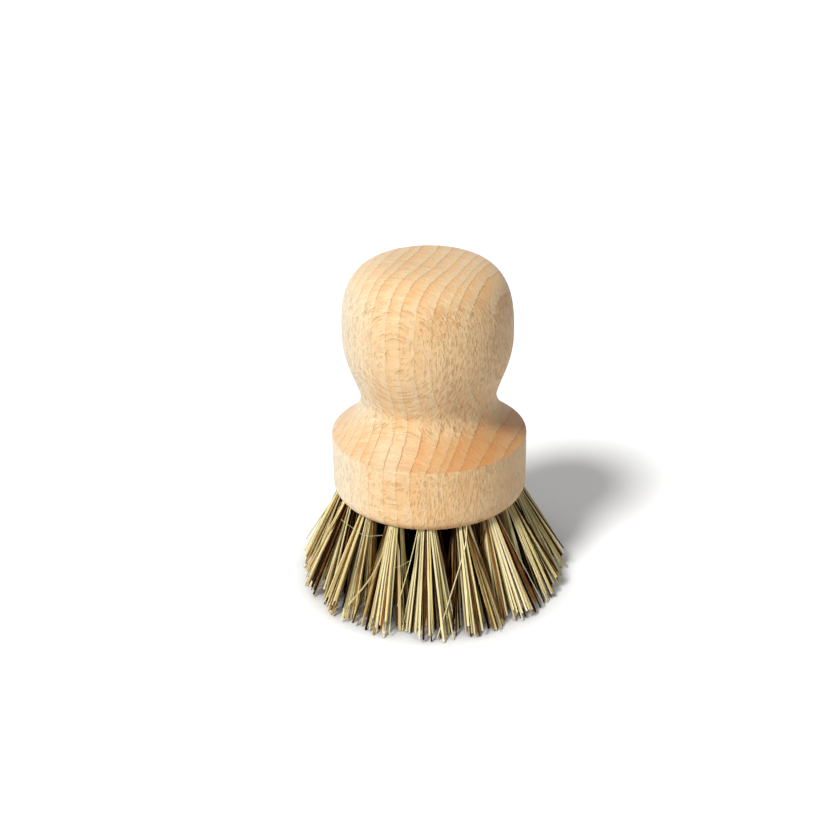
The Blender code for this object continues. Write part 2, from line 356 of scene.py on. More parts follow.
class GrainBench(NodeBench):
    """Knows where a place lies in the grain, in millimetres, and makes what the grain shows there."""

    def __init__(self, tree, place, facing):
        super().__init__(tree)
        self.place = place
        axes = (ACROSS_RINGS, ALONG_RINGS, UP_TRUNK)
        self.axes = [self.vector("DOT_PRODUCT", place, axis) for axis in axes]
        self.measures = dict(zip(("across", "along", "height"), self.axes))
        for name, axis in (("up", UP_TRUNK), ("sideways", ALONG_RINGS)):
            self.measures[name] = self.math("ABSOLUTE", self.vector("DOT_PRODUCT", facing, axis))

    def fade(self, **ends):
        """Fades multiplied, each between two ends, with the values there if they aren't 0 and 1.

        A fade goes by the place across or along the rings or the height in millimetres, or by how
        squarely the surface faces up the trunk (up) or along the rings (sideways).
        """
        return self.product(*(self.remap(self.measures[name], *pair) for name, pair in ends.items()))

    def pattern(self, fineness, detail, roughness):
        """A noise that repeats so finely across and along the rings and up the trunk."""
        return self.noise(self.stretched(self.axes, fineness), 1.0, detail, roughness)

    def ring_count(self, ring_bend):
        """How many rings lie between the first edge and a place, with the fraction of its own.

        The rings run straight near the front, bend across the middle and curve on behind it.
        """
        across, along, _ = self.axes
        start = self.math("SUBTRACT", along, self.fade(across=(-6.0, 4.0, 2.5, 0.0)))
        forward = self.remap(start, 5.0, 21.0, 1.0, 0.0)
        bend = self.product(forward, ring_bend, self.fade(across=(4.0, 18.0, 1.0, 0.35)))
        behind = self.math("MINIMUM", along, 0.0)
        curve = self.product(behind, behind, CURVE_BEHIND)
        wide = self.math("SUBTRACT", self.noise(self.place, 0.11, 1.0), 0.5)
        steps = self.math("SUBTRACT", self.pattern((0.12, 1.7, 0.5), 2.0, 0.7), 0.5)
        waver = self.math("ADD", curve, self.math("ADD", wide, steps))
        level = self.math("ADD", self.math("SUBTRACT", across, bend), waver)

        low, high = RING_EDGES[0], RING_EDGES[-1]
        count = len(RING_EDGES) - 1
        level = self.remap(level, low, high, smooth=False)
        counter = self.add("ShaderNodeFloatCurve", {"Value": level})
        line = counter.mapping.curves[0]
        line.points[0].location = (0.0, 0.0)
        line.points[-1].location = (1.0, 1.0)
        for ring, edge in enumerate(RING_EDGES[1:-1], 1):
            line.points.new((edge - low) / (high - low), ring / count)
        for point in line.points:
            point.handle_type = "VECTOR"
        counter.mapping.update()
        return self.product(counter.outputs[0], float(count))

    def late_wood(self, rings, year, contrast):
        """The share of late wood, which is deeper in some years, and banded on end grain."""
        whole = {"W": self.math("FLOOR", rings)}
        chosen = self.add("ShaderNodeTexWhiteNoise", whole, noise_dimensions="1D")
        depth = self.remap(chosen.outputs["Value"], 0.0, 1.0, 0.65, 1.0, smooth=False)
        late = self.math("POWER", self.math("SUBTRACT", 1.0, year), 1.25)
        late = self.product(late, self.remap(year, 0.0, 0.05, 0.3, 1.0), depth)
        spread = self.product(contrast, LATE_WOOD_CONTRAST)
        seen = self.product(self.math("SUBTRACT", late, MEAN_LATE_WOOD), spread)
        bands = self.remap(self.pattern((0.125, 1.5, 0.35), 3.0, 0.7), 0.38, 0.62, -0.5, 0.5)
        fade = self.fade(up=(0.10, 0.55), across=(-2.0, 12.0, 1.2, 0.25), height=(50.0, 75.0, 1.0, 0.55))
        return self.math("ADD", self.math("ADD", seen, MEAN_LATE_WOOD), self.product(bands, fade))

    def ring_line(self, year, contrast):
        """The thin dark edge of a ring, which fades in places."""
        after = self.remap(year, 0.0, 0.10, 1.0, 0.0)
        edge = self.math("MAXIMUM", after, self.remap(year, 0.96, 1.0))
        broken = self.remap(self.noise(self.place, 0.25), 0.36, 0.60, 0.5, 1.0)
        fade = self.fade(across=(-22.0, 0.0, 0.55, 1.0), height=(50.0, 60.0, 1.3, 1.0))
        return self.product(edge, broken, fade, contrast)

    def rays(self):
        """Thin upright ribbons that run across the rings. Cut end-on they are short dashes."""
        rays = 0.0
        wander = self.noise(self.place, 0.45, output="Color")
        drift = self.vector("SCALE", self.vector("SUBTRACT", wander, (0.5, 0.5, 0.5)), RAY_DRIFT)
        for length, thickness, tall, kept, strength in RAY_LAYERS:
            drawn_out = self.stretched(self.axes, (1 / length, 1 / thickness, 1 / tall))
            inputs = {"Vector": self.vector("ADD", drawn_out, drift), "Scale": 1.0}
            cell = self.add("ShaderNodeTexVoronoi", inputs).outputs
            chosen = self.math("LESS_THAN", self.separate(cell["Color"])[0], kept)
            ribbon = self.remap(cell["Distance"], 0.26, 0.38, strength, 0.0)
            rays = self.math("MAXIMUM", rays, self.product(ribbon, chosen))
        return self.product(rays, self.fade(up=(0.30, 0.65, 1.0, 0.12), height=(40.0, 46.0, 0.42, 0.72)))


def grain_group():
    """Growth rings, rays and fine streaks of beech at a place in the block, in millimetres."""
    vector, number = "NodeSocketVector", "NodeSocketFloat"
    inputs = {"Place": vector, "Facing": vector, "Ring Bend": number}
    bench, entry = new_group("Beech Grain", inputs)
    place = entry["Place"]
    grain = GrainBench(bench.tree, place, entry["Facing"])
    rings = grain.ring_count(entry["Ring Bend"])
    year = grain.math("FRACT", rings)

    # End grain shows the rings best, a face along the rays shows them faintly, and a face along
    # the rings hides them.
    on_side = grain.fade(sideways=(0.6, 1.0, 0.06, 0.42))
    contrast = grain.math("MAXIMUM", grain.fade(up=(0.10, 0.55)), on_side)
    rays = grain.rays()
    broad = grain.fade(sideways=(0.7, 0.97, 1.0, grain.fade(height=(44.0, 62.0, 1.25, 0.5))))
    upright = grain.pattern((2.6, 2.6, 0.25), 3.0, 0.65)
    crosswise = grain.pattern((0.16, 2.4, 0.7), 2.0, 0.6)
    fuzz = grain.noise(place, 3.2, 2.0, 0.65)
    streaks = grain.product(grain.math("ADD", grain.math("ADD", upright, crosswise), fuzz), 1 / 3)
    relief = grain.math("SUBTRACT", grain.product(streaks, 1.6), rays)

    # The wood pales on the front-left, partly as sapwood towards the bark and partly as a painted highlight
    # where the lamp falls, and a little on the sanded dome. Its cut ends are deepest low down on the
    # shoulder, by their own tint and by painted shade on its shaded right, and the rim is painted a shade
    # lighter, as painted light on its wall.
    bark = grain.fade(across=(-20.0, 0.0, 0.95, 0.0), up=(0.3, 0.8, 1.0, 0.5), along=(-14.0, 2.0, 0.35, 1.0))
    dome = grain.fade(up=(0.80, 0.97), height=(78.0, 88.0, 0.0, 0.06))
    deep = grain.fade(up=(0.25, 0.75), height=(50.0, 70.0, 1.0, 0.12), across=(-6.0, 20.0, 0.35, 1.0))
    masks = {
        "Late Wood": grain.late_wood(rings, year, contrast),
        "Ring Line": grain.ring_line(year, contrast),
        "Rays": grain.product(rays, broad, grain.fade(across=(-20.0, -6.0, 0.45, 1.0))),
        "Broadside": grain.fade(sideways=(0.78, 0.97)),
        "Sapwood And Highlight": grain.math("MAXIMUM", bark, dome),
        "End Grain And Shade": deep,
        "Flecks": grain.noise(place, 0.17, 2.0, 0.6),
        "Streaks": streaks,
        # Painted light: the rim and underside are a shade lighter
        "Painted Rim Light": grain.fade(height=(40.5, 42.0, 1.06, 1.0)),
        "Relief": grain.product(relief, grain.fade(height=(40.0, 44.0, 1.7, 1.0))),
    }
    return finished_group(grain, masks)


# Warm patches in the grain, and pale patches of painted light where the lamp falls and under the knob:
# place and reach in millimetres, and strength
WARM_PATCHES = (
    ((-3.0, -16.3, 87.4), 4.5, 0.70),
    ((-10.6, -13.0, 87.2), 4.0, 0.55),
    ((-0.4, 3.5, 90.0), 5.0, 0.50),
    ((-7.2, -16.8, 50.5), 1.6, 0.90),
    ((-13.0, -22.5, 42.0), 3.0, 0.80),
    ((-4.7, -25.6, 41.4), 2.2, 0.60),
    ((13.0, -20.0, 43.1), 9.0, 0.55),
    ((-4.0, -25.7, 37.0), 9.0, 0.65),
    ((3.0, -25.8, 29.0), 12.0, 0.55),
    ((9.0, -24.4, 37.0), 10.0, 0.70),
)
PAINTED_LIGHT_PATCHES = (
    ((-10.5, -20.5, 44.5), 9.0, 0.70),
    ((-17.5, -17.0, 43.0), 8.0, 0.20),
    ((-2.0, -19.5, 60.0), 10.0, 0.15),
)

# How strongly warm places and ring lines colour the wood
MOTTLED_SHARE = 0.5
WARM_SHARE = 0.55
RING_LINE_SHARE = 0.75

# Height of the grain's relief in metres, and how strongly it shows
RELIEF_HEIGHT = 0.00024
RELIEF_STRENGTH = 0.88


def patch_share(bench, place, patches, share):
    """How much a place lies in one of the patches, and at least the share given."""
    for centre, reach, strength in patches:
        away = bench.vector("LENGTH", bench.vector("SUBTRACT", place, centre))
        share = bench.math("MAXIMUM", share, bench.remap(away, 0.0, reach, strength, 0.0))
    return share


def beech_material(name, grain, settings, shade, roughness):
    """Bare beech. shade darkens it, as painted shade inside a drilled hole."""
    made, bench, shader = new_material(name)
    spot = bench.add("ShaderNodeTexCoord").outputs
    place = bench.vector("SCALE", spot["Object"], 1 / MM)
    seen = bench.group(grain, place=place, facing=spot["Normal"], ring_bend=settings.ring_bend / MM)
    mottled = bench.product(bench.remap(seen["Flecks"], 0.52, 0.68), MOTTLED_SHARE)
    warm = bench.product(patch_share(bench, place, WARM_PATCHES, mottled), WARM_SHARE)
    late = bench.math("ADD", seen["Late Wood"], warm, clamp=True)
    colour = bench.blend(late, settings.early_wood, settings.late_wood)
    # Pale sapwood with a painted highlight on the lit front-left, and painted light in the pale patches
    pale = patch_share(bench, place, PAINTED_LIGHT_PATCHES, seen["Sapwood And Highlight"])
    colour = bench.blend(pale, colour, settings.sapwood_and_highlight)
    # The end grain's own tint, with painted shade on the shoulder's shaded right side
    colour = bench.blend(seen["End Grain And Shade"], colour, settings.end_grain_and_shade, "MULTIPLY")
    line = bench.product(seen["Ring Line"], RING_LINE_SHARE)
    colour = bench.blend(line, colour, settings.ring_line)
    ray = bench.blend(seen["Broadside"], settings.ray, settings.broad_ray)
    rays = bench.product(seen["Rays"], bench.remap(pale, 0.0, 1.0, 0.9, 0.5, smooth=False))
    colour = bench.blend(rays, colour, ray, "MULTIPLY")
    depth = bench.remap(seen["Streaks"], 0.38, 0.62, 0.86, 1.10, smooth=False)
    # Painted light lifts the rim, and shade darkens the inside of a hole as painted shade
    colour = bench.vector("SCALE", colour, bench.product(depth, seen["Painted Rim Light"], shade))
    bench.feed(shader["Base Color"], colour)
    matt = bench.remap(seen["Streaks"], 0.36, 0.64, roughness + 0.08, roughness - 0.08)
    bench.feed(shader["Roughness"], matt)
    shader["Specular IOR Level"].default_value = 0.3
    shader["Sheen Weight"].default_value = 0.12
    shader["Sheen Roughness"].default_value = 0.6
    bench.feed(shader["Normal"], bench.bump(seen["Relief"], RELIEF_STRENGTH, RELIEF_HEIGHT))
    return made


def strand_group():
    """Lengthwise stripes and blotches of one fibre, from a place in it in millimetres."""
    inputs = {"Place": "NodeSocketVector", "Stripe Width": "NodeSocketFloat"}
    bench, entry = new_group("Fibre Strands", inputs)
    place = bench.separate(entry["Place"])
    fine = bench.math("DIVIDE", 1.0, entry["Stripe Width"])
    stripes = bench.noise(bench.stretched(place, (fine, fine, 0.10)), roughness=0.6)
    blotches = bench.noise(bench.stretched(place, (1.0, 1.0, 0.35)))
    return finished_group(bench, {"Stripes": stripes, "Blotches": blotches})


# Colours of the fibres, from near-black through brown and tan to pale straw
FIBRE_TONES = (
    (0.00, (0.009, 0.003, 0.001)),
    (0.12, (0.026, 0.010, 0.003)),
    (0.20, (0.095, 0.034, 0.009)),
    (0.30, (0.240, 0.082, 0.020)),
    (0.38, (0.360, 0.190, 0.058)),
    (0.46, (0.440, 0.300, 0.120)),
    (0.56, (0.600, 0.455, 0.205)),
    (0.72, (0.720, 0.580, 0.295)),
    (0.88, (0.800, 0.670, 0.380)),
    (1.00, (0.865, 0.765, 0.515)),
)

# Tints that set single fibres apart: none, then greener, and a few yellow ones
HUE_TINTS = (
    (0.0, (1.0, 1.0, 1.0)),
    (0.90, (0.94, 1.0, 0.88)),
    (0.97, (1.0, 0.92, 0.62)),
)

# Width of the stripes along a fibre in millimetres, and how far blotches shift its tone
STRIPE_WIDTH = 0.11
BLOTCH_SHIFT = 0.22


def fibre_material(name, strands):
    """Plant fibre, toned and tinted by each strand's own attributes and striped along it."""
    made, bench, shader = new_material(name)
    own = {
        label: bench.add("ShaderNodeAttribute", attribute_name=f"strand_{label}").outputs
        for label in ("place", "tone", "hue")
    }
    seen = bench.group(strands, place=own["place"]["Vector"], stripe_width=STRIPE_WIDTH)
    shift = bench.product(bench.math("SUBTRACT", seen["Blotches"], 0.5), BLOTCH_SHIFT)
    tone = bench.math("ADD", own["tone"]["Fac"], shift, clamp=True)
    tint = bench.ramp(own["hue"]["Fac"], HUE_TINTS)
    colour = bench.blend(1.0, bench.ramp(tone, FIBRE_TONES), tint, "MULTIPLY")
    depth = bench.remap(seen["Stripes"], 0.32, 0.68, 0.66, 1.14, smooth=False)
    bench.feed(shader["Base Color"], bench.vector("SCALE", colour, depth))
    bench.feed(shader["Roughness"], bench.remap(seen["Stripes"], 0.3, 0.7, 0.62, 0.42))
    shader["Specular IOR Level"].default_value = 0.02
    bench.feed(shader["Normal"], bench.bump(seen["Stripes"], 0.4, 0.00004))
    return made


def steel_material():
    """Drawn staple wire, with fine marks along it."""
    made, bench, shader = new_material("staple_steel")
    place = bench.vector("SCALE", bench.add("ShaderNodeTexCoord").outputs["Object"], 1 / MM)
    marks = bench.noise(place, 9.0, 3.0, 0.6)
    greys = ((0.3, (0.42, 0.42, 0.41)), (0.7, (0.62, 0.62, 0.60)))
    bench.feed(shader["Base Color"], bench.ramp(marks, greys))
    bench.feed(shader["Roughness"], bench.remap(marks, 0.3, 0.7, 0.25, 0.45))
    shader["Metallic"].default_value = 1.0
    bench.feed(shader["Normal"], bench.bump(marks, 0.2, 0.00002))
    return made


def evaluated_mesh(thing, name):
    """The mesh that an object's modifiers make."""
    bpy.context.view_layer.update()
    graph = bpy.context.evaluated_depsgraph_get()
    mesh = bpy.data.meshes.new_from_object(thing.evaluated_get(graph))
    mesh.name = name
    return mesh


def put(name, data, where=None, collection=None):
    """Puts an object in the scene, or in the collection given."""
    made = bpy.data.objects.new(name, data)
    (collection or bpy.context.scene.collection).objects.link(made)
    if where is not None:
        made.matrix_world = where
    return made


def turned(name, outline, sides):
    """A mesh turned about Z from an outline of (radius, height), from its top down its outer side."""
    profile = bpy.data.meshes.new(name)
    points = [(radius, 0.0, height) for radius, height in outline]
    profile.from_pydata(points, [(i, i + 1) for i in range(len(points) - 1)], [])
    made = put(name, profile)
    screw = made.modifiers.new("turn", "SCREW")
    screw.steps = sides
    screw.render_steps = sides
    screw.use_merge_vertices = True
    screw.merge_threshold = 0.00001
    mesh = evaluated_mesh(made, name)
    bpy.data.objects.remove(made)
    return mesh


def rounded_corner(before, corner, after, radius, steps):
    """Points of an arc that rounds the corner between two straight runs."""
    back = (before - corner).normalized()
    ahead = (after - corner).normalized()
    half = back.angle(ahead) / 2
    centre = corner + (back + ahead).normalized() * radius / math.sin(half)
    start = corner + back * radius / math.tan(half) - centre
    end = corner + ahead * radius / math.tan(half) - centre
    turns = [start.slerp(end, i / steps).normalized() for i in range(steps + 1)]
    return [centre + turn * radius for turn in turns]


def block_outline():
    """Half outline of the turned block: dome, knob, waist, shoulder, rim and underside."""
    outline = []
    dome_steps, side_steps, shoulder_steps = 40, 44, 36
    for i in range(dome_steps):
        angle = math.pi / 2 * (1 - i / dome_steps)
        radius = KNOB_RADIUS * math.cos(angle) ** (2 / DOME_WIDTH_POWER) if i else 0.0
        rise = (BLOCK_HEIGHT - KNOB_HEIGHT) * math.sin(angle) ** (2 / DOME_RISE_POWER)
        outline.append(Vector((radius, KNOB_HEIGHT + rise)))
    for i in range(side_steps):
        share = 1 - i / side_steps
        swell = 0.5 - 0.5 * math.cos(math.pi * share**KNOB_SWELL)
        height = WAIST_HEIGHT + (KNOB_HEIGHT - WAIST_HEIGHT) * share
        outline.append(Vector((WAIST_RADIUS + (KNOB_RADIUS - WAIST_RADIUS) * swell, height)))
    start = Vector((WAIST_RADIUS, WAIST_HEIGHT))
    rim = Vector((DISC_RADIUS, RIM_HEIGHT))
    first = start - Vector((0, WAIST_REACH))
    second = rim + Vector((-math.cos(SHOULDER_SLOPE), math.sin(SHOULDER_SLOPE))) * SHOULDER_REACH
    edge = rounded_corner(second, rim, Vector((DISC_RADIUS, 0)), RIM_EDGE_RADIUS, 6)
    for i in range(shoulder_steps):
        t = i / shoulder_steps
        point = (1 - t) ** 3 * start + 3 * (1 - t) ** 2 * t * first
        point += 3 * (1 - t) * t**2 * second + t**3 * rim
        if (point - rim).length > (edge[0] - rim).length:
            outline.append(point)
    outline += edge
    wall_steps = 10
    low_edge = rounded_corner(rim, Vector((DISC_RADIUS, 0)), Vector((0, 0)), UNDERSIDE_EDGE_RADIUS, 12)
    for i in range(1, wall_steps):
        outline.append(edge[-1].lerp(low_edge[0], i / wall_steps))
    outline += low_edge
    outline += [Vector((radius, 0)) for radius in UNDERSIDE_RADII]
    return [(radius, height + FREE_LENGTH) for radius, height in outline]


def hole_places():
    """Row and number of each hole with its frame: origin in the mouth, +Z into the wood, +X outwards."""
    for inwards, (row, lean, flare) in enumerate(ROWS):
        radius = DISC_RADIUS - EDGE_DISTANCE - inwards * ROW_PITCH
        count = sum(name.startswith(f"tuft_{row}_") for name in frame["nodes"])
        for number in range(count):
            azimuth = -math.pi / 2 + FRONT_TURN + number * 2 * math.pi / count
            where = (
                Matrix.Rotation(azimuth, 4, "Z")
                @ Matrix.Translation((radius, 0, FREE_LENGTH))
                @ Matrix.Rotation(-math.radians(lean), 4, "Y")
            )
            yield row, f"{row}_{number + 1:02d}", where, flare


def drill_mesh(settings):
    """The drill that bores a tuft's hole and breaks the edge of its mouth."""
    point = HOLE_RADIUS / math.tan(DRILL_POINT_ANGLE / 2)
    chamfer = settings.mouth_chamfer
    outline = [
        (0.0, HOLE_DEPTH + point),
        (HOLE_RADIUS, HOLE_DEPTH),
        (HOLE_RADIUS, chamfer),
        (HOLE_RADIUS + chamfer, 0.0),
        (HOLE_RADIUS + chamfer, -HOLE_RADIUS),
        (0.0, -HOLE_RADIUS),
    ]
    return turned("drill", outline, DRILL_SIDES)


class POTBRUSH_OT_block(bpy.types.Operator):
    """Turn the beech block, bore its holes and give it its grain"""

    bl_idname = "pot_brush.block"
    bl_label = "Beech Block"

    def execute(self, context):
        settings = context.scene.pot_brush.block
        grain = grain_group()
        outside = beech_material("bare_beech", grain, settings, shade=1.0, roughness=0.56)
        # Inside its holes the wood is darkened, as painted shade
        bored = beech_material("bored_beech_shaded", grain, settings, shade=0.62, roughness=0.75)
        drill = drill_mesh(settings)
        drill.materials.append(bored)
        drills = bpy.data.collections.new("drills")
        context.scene.collection.children.link(drills)
        for _, name, where, _ in hole_places():
            put(f"drill_{name}", drill, where, drills)
        blank = put("turned_blank", turned("turned_blank", block_outline(), settings.sides))
        blank.data.materials.append(outside)
        blank.data.materials.append(bored)
        cut = blank.modifiers.new("holes", "BOOLEAN")
        cut.operation = "DIFFERENCE"
        cut.solver = "EXACT"
        cut.operand_type = "COLLECTION"
        cut.collection = drills
        cut.material_mode = "TRANSFER"
        mesh = evaluated_mesh(blank, "beech_block")
        mesh.shade_smooth()
        mesh.set_sharp_from_angle(angle=math.radians(32))
        for helper in (blank, *drills.objects):
            bpy.data.objects.remove(helper)
        bpy.data.collections.remove(drills)
        block = put("beech_block", mesh)
        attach(block, BODY)
        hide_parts("hand_block")
        return {"FINISHED"}


# How the fibres of a tuft gather, and how far single ones turn away
OUTER_CLUMPS = 6
CLUMP_REACH = (0.6, 0.8)
CLUMP_JITTER = 0.2
PACKING_MARGIN = 0.6
PACKING_JITTER = 0.12
SMALL_TURN = math.radians(1.1)
STRAY_TURN = math.radians(4.0)
STRAY_SHARE = 0.14
TURN_LIMIT = 1.1

# The fibres have taken a set, a little forwards and to the right
FIBRE_SET = Vector((0.030, -0.050, 0.0))

# Most fibres are cut to one level, the rest are shorter, and all are trimmed to an oval seen from
# above. Lengths are in metres.
LEVEL_SHARE = 0.45
SHORT_POWER = 1.6
TIP_CLEARANCE = 0.0002
TRIM_MIDDLE = (0.00075, -0.0008)
TRIM_REACH = (0.0361, 0.0382)
TRIM_RAGGED = 0.03

# How a fibre closes in on its fold over the staple: shares of its place outwards and sideways, and
# heights. The outermost fold highest.
CLIMB = ((0.94, 0.8, 0.0030), (0.85, 0.6, 0.0062))
FOLD_RISE = 0.0006
FOLD_SPREAD = 0.0024
FOLD_SHIFT = 0.1 * MM

# A fibre's steps and sides, how flat and uneven it is, how it narrows at its tips and where its hole
# presses it, how far it twists, and the painted shade on its half towards the tuft's inner side
FIBRE_SIDES = 7
STRAY_SIDES = 6
FREE_STEPS = 7
FLATNESS = (0.5, 0.8)
UNEVENNESS = (0.86, 1.08)
TIP_TAPER = 0.9
PRESSED_TAPER = 0.72
PRESSED_STEPS = 3
MOST_TWIST = 1.5
INNER_SIDE_SHADE = 0.65

# How far apart two fibres' patterns may start in millimetres, and margins in the texture map
PATTERN_REACH = 400
STRIP_MARGIN = 0.06
END_MARGIN = 0.005


def packed_places(settings, chance):
    """Places of the fibres' two ends across half a hole's mouth, as (outwards, sideways)."""
    gap = settings.spacing
    limit = HOLE_RADIUS - gap * PACKING_MARGIN
    places = []
    row = 0
    x = gap / 2
    while x < limit:
        y = -limit + (row % 2) * gap / 2
        while y < limit:
            spot = [value + chance.uniform(-PACKING_JITTER, PACKING_JITTER) * gap for value in (x, y)]
            if math.hypot(*spot) < limit:
                places.append(spot)
            y += gap
        x += gap * math.sqrt(3) / 2
        row += 1
    return places


def clump_middles(chance):
    """Places in a hole's mouth round which its fibres gather."""
    turn = chance.uniform(0, 2 * math.pi)
    middles = [(0.0, 0.0)]
    for number in range(OUTER_CLUMPS):
        around = number + chance.uniform(-CLUMP_JITTER, CLUMP_JITTER)
        angle = turn + 2 * math.pi * around / OUTER_CLUMPS
        reach = HOLE_RADIUS * chance.uniform(*CLUMP_REACH)
        middles.append((reach * math.cos(angle), reach * math.sin(angle)))
    return middles


def trimmed_length(base, along, share):
    """How far a fibre runs from base until it is at a share of the way out to the trimmed oval."""
    start = [(value - middle) / reach for value, middle, reach in zip(base, TRIM_MIDDLE, TRIM_REACH)]
    step = [value / reach for value, reach in zip(along, TRIM_REACH)]
    square = sum(value**2 for value in step)
    half = sum(a * b for a, b in zip(start, step))
    left = share**2 - sum(value**2 for value in start)
    return (math.sqrt(half**2 + square * left) - half) / square


def free_end(where, start, flare, clumps, settings, chance):
    """Points of one fibre from its hole's mouth to its tip, in the block's own axes."""
    spread = [math.tan(math.radians(angle)) / HOLE_RADIUS for angle in flare]
    middle = min(clumps, key=lambda spot: math.dist(spot, start))
    aim = [own + (shared - own) * settings.clumping for own, shared in zip(start, middle)]
    base = where @ Vector((start[0], start[1], 0))
    out = Vector((aim[0] * spread[0], aim[1] * spread[1], -1)).normalized()
    unruly = STRAY_TURN if chance.random() < STRAY_SHARE else SMALL_TURN
    for axis in "XY":
        turn = max(-TURN_LIMIT * unruly, min(TURN_LIMIT * unruly, chance.gauss(0, unruly)))
        out.rotate(Matrix.Rotation(turn, 3, axis))
    along = (where.to_3x3() @ out + FIBRE_SET).normalized()
    short = max(0.0, chance.random() - LEVEL_SHARE) / (1 - LEVEL_SHARE)
    level = TIP_CLEARANCE + settings.ragged * short**SHORT_POWER
    length = (base.z - level) / -along.z
    length = min(length, trimmed_length(base, along, 1.0 - TRIM_RAGGED * short))
    turn = chance.uniform(0, 2 * math.pi)
    bow = Vector((math.cos(turn), math.sin(turn), 0)) * settings.bow * chance.random()
    shares = [i / FREE_STEPS for i in range(FREE_STEPS + 1)]
    return [base + along * length * share + bow * share**2 for share in shares]


def folded_fibre(where, near, far, flare, clumps, settings, chance):
    """Centreline of a fibre folded over its staple, from one tip to the other."""
    first = free_end(where, near, flare, clumps, settings, chance)
    second = free_end(where, (-far[0], far[1]), flare, clumps, settings, chance)
    up, down = (
        [where @ Vector((side * x * out, y * beside, height)) for out, beside, height in CLIMB]
        for side, (x, y) in ((1, near), (-1, far))
    )
    crown = CROWN_LEVEL + FOLD_RISE + FOLD_SPREAD * (near[0] / HOLE_RADIUS)
    top = where @ Vector((0, (near[1] + far[1]) / 4, crown))
    return first[::-1] + up + [top] + down[::-1] + second


class MeshMaker:
    """Collects fibres as tubes in one mesh, with what their material reads."""

    def __init__(self, sides):
        self.sides = sides
        self.points, self.faces = [], []
        self.places, self.tones, self.hues, self.maps = [], [], [], []
        self.count = 0

    def tube(self, path, reference, widths, tone, chance, twist, packed=False):
        """A tube along path. widths is its two half widths, and reference a direction across it.

        A packed tube is pressed thinner in the middle of its length, which its hole holds, and its
        second half, on the tuft's inner side, is darker, as painted shade.
        """
        sides = self.sides
        first = len(self.points)
        start = Vector((chance.uniform(0, PATTERN_REACH), chance.uniform(0, PATTERN_REACH), 0))
        phase = chance.uniform(0, 2 * math.pi)
        lobes = [chance.uniform(*UNEVENNESS) for _ in range(sides)]
        hue = chance.random()
        middle = (len(path) - 1) / 2
        run = 0.0
        for number, point in enumerate(path):
            before, after = path[max(0, number - 1)], path[min(len(path) - 1, number + 1)]
            ahead = (after - before).normalized()
            if number:
                run += (point - path[number - 1]).length
            side = (reference - ahead * reference.dot(ahead)).normalized()
            other = ahead.cross(side)
            turn = phase + twist * number / len(path)
            taper = TIP_TAPER if number in (0, len(path) - 1) else 1.0
            if packed:
                beyond = max(0.0, abs(number - middle) - PRESSED_STEPS)
                taper = min(taper, PRESSED_TAPER + 0.1 * beyond)
            for corner in range(sides):
                angle = 2 * math.pi * corner / sides
                a = widths[0] * math.cos(angle) * lobes[corner] * taper
                b = widths[1] * math.sin(angle) * lobes[corner] * taper
                x = a * math.cos(turn) - b * math.sin(turn)
                y = a * math.sin(turn) + b * math.cos(turn)
                self.points.append(point + side * x + other * y)
                self.places.append(start + Vector((a, b, run)) / MM)
                # The half on the tuft's inner side is darker, as painted shade
                self.tones.append(tone * (INNER_SIDE_SHADE if packed and number > middle else 1.0))
                self.hues.append(hue)
        self.count += 1
        rings = len(path)
        for ring in range(rings - 1):
            for corner in range(sides):
                a = first + ring * sides + corner
                b = first + ring * sides + (corner + 1) % sides
                self.faces.append((a, b, b + sides, a + sides))
                low, high = corner / sides, (corner + 1) / sides
                here, there = ring / (rings - 1), (ring + 1) / (rings - 1)
                self.maps.append(((low, here), (high, here), (high, there), (low, there)))
        last = first + (rings - 1) * sides
        self.faces += (tuple(range(first + sides - 1, first - 1, -1)), tuple(range(last, last + sides)))
        self.maps += (((0.5, end),) * sides for end in (0.0, 1.0))

    def mesh(self, name, material):
        """The collected tubes as a mesh. In the texture map each fibre has a strip of its own."""
        made = bpy.data.meshes.new(name)
        made.from_pydata(self.points, [], self.faces)
        spots = made.attributes.new("strand_place", "FLOAT_VECTOR", "POINT")
        spots.data.foreach_set("vector", [value for spot in self.places for value in spot])
        for label, values in (("strand_tone", self.tones), ("strand_hue", self.hues)):
            made.attributes.new(label, "FLOAT", "POINT").data.foreach_set("value", values)
        strips = made.uv_layers.new(name="OFBake")
        faces_each = len(self.faces) // self.count
        corners = []
        for number, face in enumerate(self.maps):
            strip = number // faces_each
            for across, along in face:
                inset = STRIP_MARGIN + (1 - 2 * STRIP_MARGIN) * across
                corners += ((strip + inset) / self.count, END_MARGIN + (1 - 2 * END_MARGIN) * along)
        strips.data.foreach_set("uv", corners)
        made.materials.append(material)
        made.shade_smooth()
        made.set_sharp_from_angle(angle=math.radians(55))
        return made


# Shares of near-black, brown, tan, straw and pale fibres in a band of a tuft
MIXTURES = {
    "dark": (0.76, 0.14, 0.04, 0.03, 0.03),
    "brown": (0.20, 0.56, 0.12, 0.06, 0.06),
    "tan": (0.08, 0.12, 0.48, 0.22, 0.10),
    "straw": (0.05, 0.05, 0.12, 0.60, 0.18),
    "pale": (0.03, 0.02, 0.03, 0.17, 0.75),
}
TONE_RANGES = ((0.0, 0.13), (0.17, 0.32), (0.36, 0.52), (0.56, 0.78), (0.78, 1.0))

# Bands of each outer tuft from left to right, seen from outside, from the front one round to the right
OUTER_BANDS = (
    "straw pale pale brown pale pale straw",
    "dark brown pale tan brown pale pale",
    "straw pale straw dark pale pale",
    "pale pale straw dark pale pale",
    "pale straw pale dark pale dark",
    "dark pale pale straw",
    "straw pale brown pale",
    "tan straw pale dark pale",
    "pale straw tan pale",
    "brown pale straw pale dark",
    "straw pale pale tan",
    "dark straw pale brown",
    "tan pale pale straw",
    "pale straw pale pale dark brown",
    "brown pale tan straw pale pale",
    "tan straw pale pale pale pale",
)
